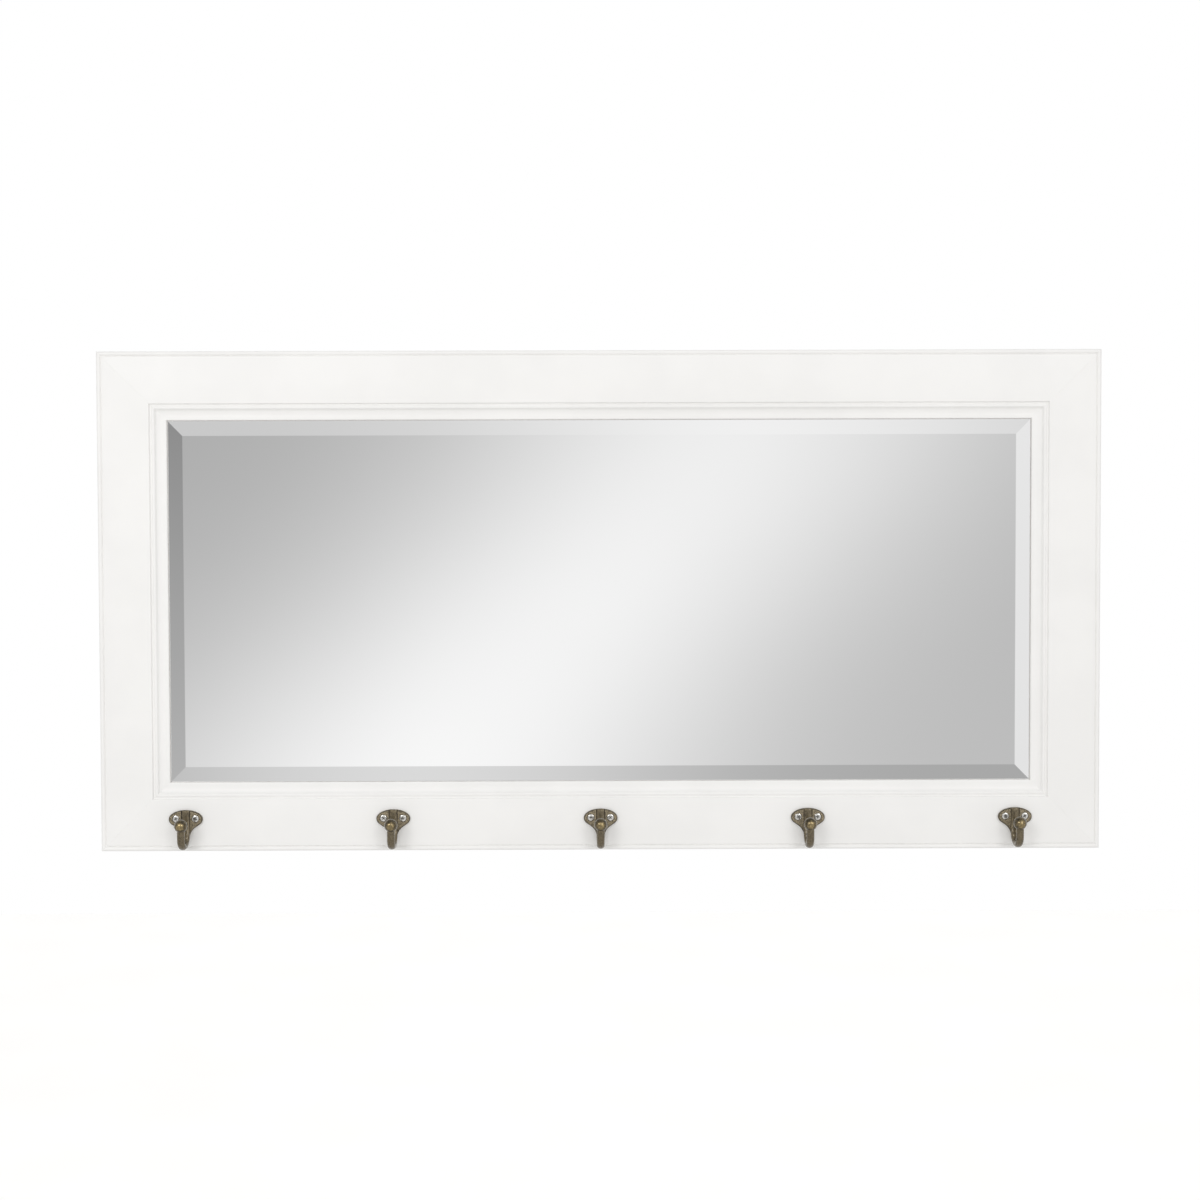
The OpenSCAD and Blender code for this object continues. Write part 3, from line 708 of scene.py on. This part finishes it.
def arm_stations(s):
    """Stations down the rib, round the bend, up the neck: (depth, drop, width, thickness, turn, flat)."""
    radius = bend_radius(s)
    bend_drop = s.hook_h - s.arm_t / 2 - radius
    # The rib's crest is rounded off near the top, and its thickness swells downward by this power
    crest, rib_steps, swell = 1.2 * MM, 12, 2.2
    # The sides are flat up to this angle in degrees and turn round over the first steps of the bend
    bend_steps, flat, flat_steps = 32, 30, 11
    drops = [0.15 * MM, 0.55 * MM] + [crest + (bend_drop - crest) * i / rib_steps for i in range(rib_steps)]
    stations = []
    for drop in drops:
        share = drop / bend_drop
        thick = (s.rib_t - ARM_LIFT) + (s.arm_t - s.rib_t + ARM_LIFT) * share ** swell
        thick *= 1 - 0.3 * max(0, 1 - drop / crest) ** 2
        width = s.rib_w + (s.arm_w - s.rib_w) * ease(share)
        stations.append((ARM_LIFT + thick / 2, drop, width, thick, 0, flat))
    for i in range(bend_steps + 1):
        a = pi * i / bend_steps
        side_w = s.arm_w if i < bend_steps / 2 else s.neck_w
        stations.append((ARM_LIFT + s.arm_t / 2 + radius * (1 - cos(a)), bend_drop + radius * sin(a),
                         side_w + (s.bend_w - side_w) * sin(a), s.arm_t, 180 / bend_steps if i else 0,
                         flat * max(0, 1 - i / flat_steps)))
    for i in (1, 2, 3):
        drop = bend_drop + (s.ball_drop - bend_drop) * i / 3
        stations.append((s.ball_reach, drop, s.neck_w, s.arm_t, 0, 0))
    return stations


def brushed_arm(s, top, brushed):
    """The J-shaped arm: sections traced at stations from the top of the rib to the neck, and bridged."""
    rings, turned_by = [], 0
    for depth, drop, width, thick, turn, flat in arm_stations(s):
        turned_by += radians(turn)
        middle = Vector((0, FACE_Y - depth, top - drop))
        rings.append(trace("arm_section", [middle + Vector((x, out * cos(turned_by), -out * sin(turned_by)))
                                           for x, out in arm_section(width, thick, flat)]))
        bpy.ops.mesh.delete(type="ONLY_FACE")
    arm = joined(rings, "arm")
    edit(arm, "EDGE")
    bpy.ops.mesh.bridge_edge_loops()
    bpy.ops.mesh.select_all(action="SELECT")
    bpy.ops.mesh.fill_holes(sides=0)
    wear(arm, brushed)
    close(arm)
    return arm


def ball(s, top, polished):
    """The ball at the arm's end."""
    knob = primitive("uv_sphere", "ball", segments=64, ring_count=32, radius=s.ball_d / 2,
                     location=(0, FACE_Y - s.ball_reach, top - s.ball_drop))
    wear(knob, polished)
    return knob


def hook_places(s):
    """Number and X of each hook, spread evenly between the two end insets."""
    pitch = (FRAME_W - 2 * s.end_inset) / (s.count - 1)
    return [(i + 1, (i - (s.count - 1) / 2) * pitch) for i in range(s.count)]


class COAT_MIRROR_OT_hooks(bpy.types.Operator):
    """Models one cast hook, plate, arm and ball in one, and copies it along the lower rail"""

    bl_idname = "coat_mirror.hooks"
    bl_label = "Cast coat hooks"

    def execute(self, context):
        sizes, colours = context.scene.mirror_hooks, context.scene.mirror_finishes
        top = BOTTOM_Z + sizes.above_edge
        ball_front = FACE_Y - sizes.ball_reach - sizes.ball_d / 2
        hook = fluted_plate(sizes, top, (cast_brass(colours), painted_edge_shade(colours), dark_patina(colours)))
        combine(hook, brushed_arm(sizes, top, brushed_brass(colours)), "UNION")
        combine(hook, ball(sizes, top, polished_brass(colours, ball_front)), "UNION")
        close(hook)
        for number, x in hook_places(sizes):
            one = copy_of(hook, f"coat_hook_{number}", shift=(x, 0, 0))
            settle(one, "mirror", "aged_brass", f"hook_{number}")
        bpy.data.objects.remove(hook)
        return {"FINISHED"}


# ---------------------------------------------------------------- screws

def cross_tool(h, x, z, head_y, into, turn, *finishes):
    """Tool for a cross recess: a cross traced above the head, tapering into it. It keeps its finish."""
    arm, half, above = h.recess_l / 2, h.recess_w / 2, 0.2 * MM
    inner = half + 0.12 * MM
    cross = []
    for k in range(4):
        c, s = cos(radians(90 * k + turn)), sin(radians(90 * k + turn))
        cross += [(a * c - b * s, a * s + b * c)
                  for a, b in ((arm, -half), (arm, half), (inner, half), (half, inner))]
    tool = trace("recess", [(x + a, head_y - into * above, z + b) for a, b in cross])
    for depth, share in ((above, 1), (MM, 0.66), (MM / 2, 0.45)):
        pull((0, into * depth, 0))
        bpy.ops.transform.resize(value=(share, 1, share), center_override=(x, 0, z))
    close(tool)
    wear(tool, *finishes)
    return tool


def screw(h, x, z, head, head_y, end_y, turn, *finishes):
    """A screw along Y: a head's half profile of (radius, y), a shank, a tip at end_y and a cross recess."""
    shank_r, tip, into = h.screw_d / 2, 3 * MM, 1 if end_y > head_y else -1
    piece = turned("screw", [*head, (shank_r, end_y - into * tip), (shank_r / 4, end_y - into * 0.1 * MM),
                             (0, end_y)], (x, z))
    wear(piece, *finishes[:1])
    combine(piece, cross_tool(h, x, z, head_y, into, turn, *finishes[1:]), "DIFFERENCE")
    close(piece)
    return piece


class COAT_MIRROR_OT_hook_screws(bpy.types.Operator):
    """Turns the countersunk screws and drives two into each hook, each recess turned its own way"""

    bl_idname = "coat_mirror.hook_screws"
    bl_label = "Hook screws"

    def execute(self, context):
        scene = context.scene
        hooks, h, colours = scene.mirror_hooks, scene.mirror_hardware, scene.mirror_finishes
        # The cross recesses take a darker grey nickel, painted shade where little light gets in
        nickel, recess_shade = nickel_plate(colours), painted_recess_shade(colours)
        z = BOTTOM_Z + hooks.above_edge - hooks.screw_drop
        y, head_r, shank_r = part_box("hook_screws_1")[0].y, h.screw_head_d / 2, h.screw_d / 2
        head = [(0, y), (head_r * 0.55, y + 0.02 * MM), (head_r - 0.12 * MM, y + 0.07 * MM),
                (head_r, y + 0.16 * MM), (shank_r, y + head_r - shank_r)]
        for number, x in hook_places(hooks):
            pair = [screw(h, x + side * hooks.screw_pitch / 2, z, head, y, y + h.screw_l,
                          (number * 37 + side * 23) % 90, nickel, recess_shade) for side in (-1, 1)]
            screws = joined(pair, f"hook_screw_pair_{number}")
            settle(screws, "mirror", "nickel_plated_steel", f"hook_screws_{number}")
        return {"FINISHED"}


# ---------------------------------------------------------------- hangers and back

def strap(s, name, x, eye_y, eye_z):
    """A hanger's strap: a flat with a round end, rolled at its top into an eye with a slit."""
    half, bore_r, past = s.strap_w / 2, s.ring_wire_d / 2 + 0.08 * MM, MM
    screw_z = [eye_z - s.strap_screw_drop - i * s.strap_screw_pitch for i in (0, 1)]
    flat = [(x - half, eye_z), *[(x + a, b) for a, b in arc((0, screw_z[1]), half, 180, 360, 32)],
            (x + half, eye_z)]
    piece = trace(name, [(a, BACK_Y, b) for a, b in flat])
    pull((0, s.strap_t, 0))
    close(piece)
    # The roll starts on the flat, goes over the top and ends just short of the flat again, in degrees
    roll_start, roll_end = 215, -102
    outer = arc((eye_y, eye_z), bore_r + s.strap_t, roll_start, roll_end, 40)
    inner = arc((eye_y, eye_z), bore_r, roll_end, roll_start, 40)
    roll = trace("roll", [(x - half, a, b) for a, b in outer + inner])
    pull((s.strap_w, 0, 0))
    close(roll)
    combine(piece, roll, "UNION")
    for z in screw_z:
        front, back = BACK_Y - past, BACK_Y + 3 * MM
        hole = turned("hole", [(0, front), (SCREW_HOLE_R, front), (SCREW_HOLE_R, back), (0, back)], (x, z))
        combine(piece, hole, "DIFFERENCE")
    soften(piece, 0.15 * MM)
    close(piece)
    return piece


def d_ring(s, name, x, eye_y, eye_z):
    """A D-shaped ring: a wire's section run along the bar, round the corners and round the bow."""
    bar, side = s.ring_w / 2 - s.ring_bend_r, s.ring_l - s.ring_w / 2
    ring = primitive("circle", name, vertices=24, radius=s.ring_wire_d / 2, location=(x, eye_y, eye_z),
                     rotation=(0, pi / 2, 0))
    edit(ring)
    corner_z, bow_z, straight = eye_z - s.ring_bend_r, eye_z - side, side - s.ring_bend_r
    for step, angle, steps, at in (((bar, 0, 0), 90, 10, (x + bar, corner_z)),
                                   ((0, 0, -straight), 180, 40, (x, bow_z)),
                                   ((0, 0, straight), 90, 10, (x - bar, corner_z))):
        pull(step)
        bpy.ops.mesh.spin(steps=steps, angle=radians(angle), axis=(0, -1, 0), center=(at[0], eye_y, at[1]))
    pull((bar, 0, 0))
    close(ring, smooth=50)
    return ring


class COAT_MIRROR_OT_hangers(bpy.types.Operator):
    """Makes the two D-ring hangers: rolled straps, wire rings that swing in them and pan-head screws"""

    bl_idname = "coat_mirror.hangers"
    bl_label = "D-ring hangers"

    def execute(self, context):
        h = context.scene.mirror_hardware
        zinc = zinc_plate(context.scene.mirror_finishes)
        seat_y, head_r, head_h = BACK_Y + h.strap_t, h.pan_head_d / 2, h.pan_head_h
        head = [(0, seat_y + head_h), (head_r * 0.3, seat_y + head_h * 0.985),
                *arc((head_r * 0.62, seat_y + head_h * 0.45), (head_r * 0.38, head_h * 0.5), 90, 0, 8),
                (head_r, seat_y + 0.15 * MM), (head_r - 0.15 * MM, seat_y), (h.screw_d / 2, seat_y)]
        for side in ("left", "right"):
            low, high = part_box(f"hanger_ring_{side}")
            x, eye_y, eye_z = (low.x + high.x) / 2, (low.y + high.y) / 2, high.z - h.ring_wire_d / 2
            flat = strap(h, f"strap_{side}", x, eye_y, eye_z)
            ring = d_ring(h, f"d_ring_{side}", x, eye_y, eye_z)
            screws = joined([screw(h, x, eye_z - h.strap_screw_drop - i * h.strap_screw_pitch, head,
                                   seat_y + head_h, seat_y - h.pan_screw_l, 20 + 41 * i) for i in (0, 1)],
                            f"strap_screws_{side}")
            for piece, body, cad in ((flat, "mirror", "hanger_strap"), (ring, f"ring_{side}", "hanger_ring"),
                                     (screws, "mirror", "hanger_screws")):
                wear(piece, zinc)
                settle(piece, body, "zinc_plated_steel", f"{cad}_{side}")
        return {"FINISHED"}


class COAT_MIRROR_OT_bumpers(bpy.types.Operator):
    """Moulds the four rubber bumpers that keep the frame off the wall"""

    bl_idname = "coat_mirror.bumpers"
    bl_label = "Rubber bumpers"

    def execute(self, context):
        h = context.scene.mirror_hardware
        rubber = moulded_rubber(context.scene.mirror_finishes)
        foot_r, face_r, edge = h.bumper_d / 2, h.bumper_face_d / 2, 0.6 * MM
        # The face is sunk a little toward its middle
        profile = [(0, BACK_Y), (foot_r - 0.2 * MM, BACK_Y), (foot_r, BACK_Y + 0.3 * MM),
                   *arc((face_r - edge, -edge), edge, 0, 90, 6), (face_r / 2, -0.06 * MM), (0, -0.12 * MM)]
        for name, right, up in CORNERS:
            x = right * (FRAME_W / 2 - h.bumper_inset)
            z = MID_Z + up * ((TOP_Z - BOTTOM_Z) / 2 - h.bumper_inset)
            bumper = turned(f"rubber_bumper_{name}", profile, (x, z))
            wear(bumper, rubber)
            settle(bumper, "mirror", "rubber", f"bumper_{name}")
        return {"FINISHED"}


class COAT_MIRROR_OT_corner_fixings(bpy.types.Operator):
    """Gives the corner nails and the framing points their bare steel"""

    bl_idname = "coat_mirror.corner_fixings"
    bl_label = "Corner nails and framing points"

    def execute(self, context):
        steel = bare_steel(context.scene.mirror_finishes)
        for name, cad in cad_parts.items():
            if name.startswith(("corner_nails", "framing_points")):
                wear(cad, steel)
        return {"FINISHED"}


# ---------------------------------------------------------------- studio

def studio_world(fill):
    """White behind the mirror; a soft diagonal glow in front of it for what the glass and metal reflect."""
    world = bpy.data.worlds.new("studio")
    bpy.context.scene.world = world
    world.use_nodes = True
    tree = world.node_tree
    across, ahead, up = node(tree, "SeparateXYZ", {0: node(tree, "TexCoord")["Generated"]})
    aside = node(tree, "Math", {0: across}, operation="ABSOLUTE")[0]
    flat, soft = "LINEAR", "SMOOTHSTEP"

    def shaped(level, *ramps):
        """Applies ramps to a level in turn, each (operation, way, start, end, first, last, kind)."""
        for operation, along, start, end, first, last, kind in ramps:
            ramp = node(tree, "MapRange", {0: along, 1: start, 2: end, 3: first, 4: last},
                        interpolation_type=kind)[0]
            level = node(tree, "Math", {0: level, 1: ramp}, operation=operation)[0]
        return level

    # The glow falls off over this width on both sides of its middle, which leans to the right as it rises
    glow_w = 0.16
    off = shaped(across, ("SUBTRACT", up, -0.17, 0.11, -0.101, 0.083, soft))
    squared = node(tree, "Math", {0: off, 1: off}, operation="MULTIPLY")[0]
    fall = node(tree, "Math", {0: squared, 1: -1 / glow_w ** 2}, operation="MULTIPLY")[0]
    glow = node(tree, "Math", {0: fall}, operation="EXPONENT")[0]
    level = shaped(
        glow,
        ("MULTIPLY", up, -0.14, 0.12, 0.515, 0.455, flat),
        # The rest is brighter below and to the right
        ("ADD", across, -0.3, 0.3, 0.469, 0.521, flat),
        ("ADD", up, -0.25, 0.25, 0.078, -0.078, flat),
        # What the lower and the upper bevel throw back is dimmer below and more even above
        ("MULTIPLY", up, -0.17, -0.28, 1, 0.72, soft),
        ("MULTIPLY", up, 0.09, 0.22, 1, 0.68, soft),
        ("ADD", up, 0.09, 0.22, 0, 0.37, soft))
    # The left bevel shows grey and the right one bright
    for start, end, below, above in ((-0.24, -0.40, -0.02, -0.17), (0.24, 0.40, 0.28, 0.41)):
        side = shaped(0, ("ADD", across, start, end, 0, 1, soft),
                      ("MULTIPLY", up, -0.14, 0.1, below, above, flat))
        level = node(tree, "Math", {0: level, 1: side}, operation="ADD")[0]
    # Far to the left it is lighter again, and all round it is darker, which outlines the metal
    level = shaped(level, ("ADD", across, -0.5, -0.75, 0, 0.35, soft),
                   ("MULTIPLY", ahead, -0.72, -0.4, 1, 0.6, soft))
    # The even light comes from the front, from below and from behind; it weakens to the sides and the top
    even = shaped(fill, ("MULTIPLY", aside, 0.45, 1, 1, 0.6, soft),
                  ("MULTIPLY", ahead, -0.1, 0.15, 1, 0.65, soft), ("MULTIPLY", ahead, 0.25, 0.65, 1, 2, soft),
                  ("MULTIPLY", up, -0.8, 0.2, 1.2, 1, flat), ("MULTIPLY", up, 0.4, 0.9, 1, 0.85, soft))
    low_aside = shaped(0, ("ADD", aside, 0.46, 0.6, 0, 1, soft), ("MULTIPLY", up, 0, -0.14, 0, 1, soft))
    behind = shaped(0, ("ADD", ahead, -0.1, 0.25, 0, 1, soft))
    rays = node(tree, "LightPath")
    plain = node(tree, "Math", {0: rays["Is Camera Ray"], 1: rays["Is Transmission Ray"]},
                 operation="MAXIMUM")[0]
    # Low at the sides it runs into the level of the floor, and behind the mirror into white
    for share, into in ((low_aside, 0.72), (behind, 1)):
        level = node(tree, "Mix", {0: share, 2: level, 3: into})[0]
    # What shines throws it back, everything else gets the even light, and the camera sees white
    level = node(tree, "Mix", {0: rays["Is Glossy Ray"], 2: even, 3: level})[0]
    level = node(tree, "Mix", {0: plain, 2: level, 3: 1})[0]
    tree.links.new(level, tree.nodes["Background"].inputs["Strength"])
    tree.nodes["Background"].inputs["Color"].default_value = (1, 1, 1, 1)


def painted_floor():
    """Floor paint, rolled and matt: pale, lifted to white for the camera alone, so shadows still show."""
    paint = speckled("floor paint, rolled", linear("#efeeec"), 1, (300, 0.3, 0.7, 0.972), Roughness=0.9,
                     Emission_Color=(1, 1, 1, 1))
    tree = paint.node_tree
    # Under the lamps the paint lacks this much of white
    to_white = 0.36
    seen = node(tree, "LightPath")["Is Camera Ray"]
    lift = node(tree, "Math", {0: seen, 1: to_white}, operation="MULTIPLY")[0]
    tree.links.new(lift, tree.nodes["Principled BSDF"].inputs["Emission Strength"])
    return paint


def way_to(right, rise):
    """Direction from the mirror to a place in front of it, by its angles to the right and up."""
    return Vector((sin(right) * cos(rise), -cos(right) * cos(rise), sin(rise)))


def soft_lamp(name, right, rise, away, power, target):
    """A square soft lamp that looks at the mirror's middle, with its angles in degrees."""
    only(None)
    bpy.ops.object.light_add(type="AREA", location=target + away * way_to(radians(right), radians(rise)))
    lamp = bpy.context.object
    lamp.name = name
    lamp.data.energy, lamp.data.size = power, away / 4
    lamp.rotation_euler = (target - lamp.location).to_track_quat("-Z", "Y").to_euler()


class COAT_MIRROR_OT_studio(bpy.types.Operator):
    """Sets the pale floor, the soft lamps, the white ground and the camera"""

    bl_idname = "coat_mirror.studio"
    bl_label = "Studio"

    def execute(self, context):
        s = context.scene.mirror_studio
        target = Vector((0, FACE_Y, MID_Z))
        # The floor's front edge lies short of the ground that the glass shows to the camera
        floor = primitive("plane", "studio_floor", size=8, location=(0, 1, -s.floor_drop), scale=(4, 1, 1))
        wear(floor, painted_floor())
        studio_world(s.fill)
        soft_lamp("lamp_left", -30, 18, 2.8, s.left_lamp, target)
        soft_lamp("lamp_right", 27, 20, 7, s.right_lamp, target)
        back = way_to(-s.camera_side, s.camera_rise)
        aim = target + Vector((0, 0, s.aim_rise))
        bpy.ops.object.camera_add(location=aim + back * s.camera_distance)
        camera = context.object
        lean = Quaternion((0, 0, 1), s.camera_roll)
        camera.rotation_euler = ((-back).to_track_quat("-Z", "Y") @ lean).to_euler()
        camera.data.lens = camera.data.sensor_width / 2 / tan(s.view_angle / 2)
        context.scene.camera = camera
        context.scene.view_settings.view_transform = "Standard"
        return {"FINISHED"}


# ---------------------------------------------------------------- panel and registration

STEPS = (COAT_MIRROR_OT_moulding, COAT_MIRROR_OT_glass, COAT_MIRROR_OT_hooks, COAT_MIRROR_OT_hook_screws,
         COAT_MIRROR_OT_hangers, COAT_MIRROR_OT_bumpers, COAT_MIRROR_OT_corner_fixings,
         COAT_MIRROR_OT_studio)
GROUPS = {"mirror_moulding": MouldingSizes, "mirror_hooks": HookSizes, "mirror_hardware": HardwareSizes,
          "mirror_finishes": FinishColours, "mirror_studio": StudioSettings}


class COAT_MIRROR_PT_pieces(bpy.types.Panel):
    """Lists the pieces of the mirror in the order in which they are made"""

    bl_idname = "COAT_MIRROR_PT_pieces"
    bl_label = "Coat mirror"
    bl_space_type = "VIEW_3D"
    bl_region_type = "UI"
    bl_category = "Coat mirror"

    def draw(self, context):
        for step in STEPS:
            self.layout.operator(step.bl_idname)
        for group in GROUPS:
            box = self.layout.box()
            settings = getattr(context.scene, group)
            for key in settings.bl_rna.properties.keys():
                if key not in ("rna_type", "name"):
                    box.prop(settings, key)


def register():
    for cls in (*GROUPS.values(), *STEPS, COAT_MIRROR_PT_pieces):
        bpy.utils.register_class(cls)
    for name, group in GROUPS.items():
        setattr(bpy.types.Scene, name, PointerProperty(type=group))


def unregister():
    for name in GROUPS:
        delattr(bpy.types.Scene, name)
    for cls in (COAT_MIRROR_PT_pieces, *reversed(STEPS), *GROUPS.values()):
        bpy.utils.unregister_class(cls)


def main():
    register()
    bpy.ops.coat_mirror.moulding()
    bpy.ops.coat_mirror.glass()
    bpy.ops.coat_mirror.hooks()
    bpy.ops.coat_mirror.hook_screws()
    bpy.ops.coat_mirror.hangers()
    bpy.ops.coat_mirror.bumpers()
    bpy.ops.coat_mirror.corner_fixings()
    bpy.ops.coat_mirror.studio()


if __name__ == "__main__":
    main()
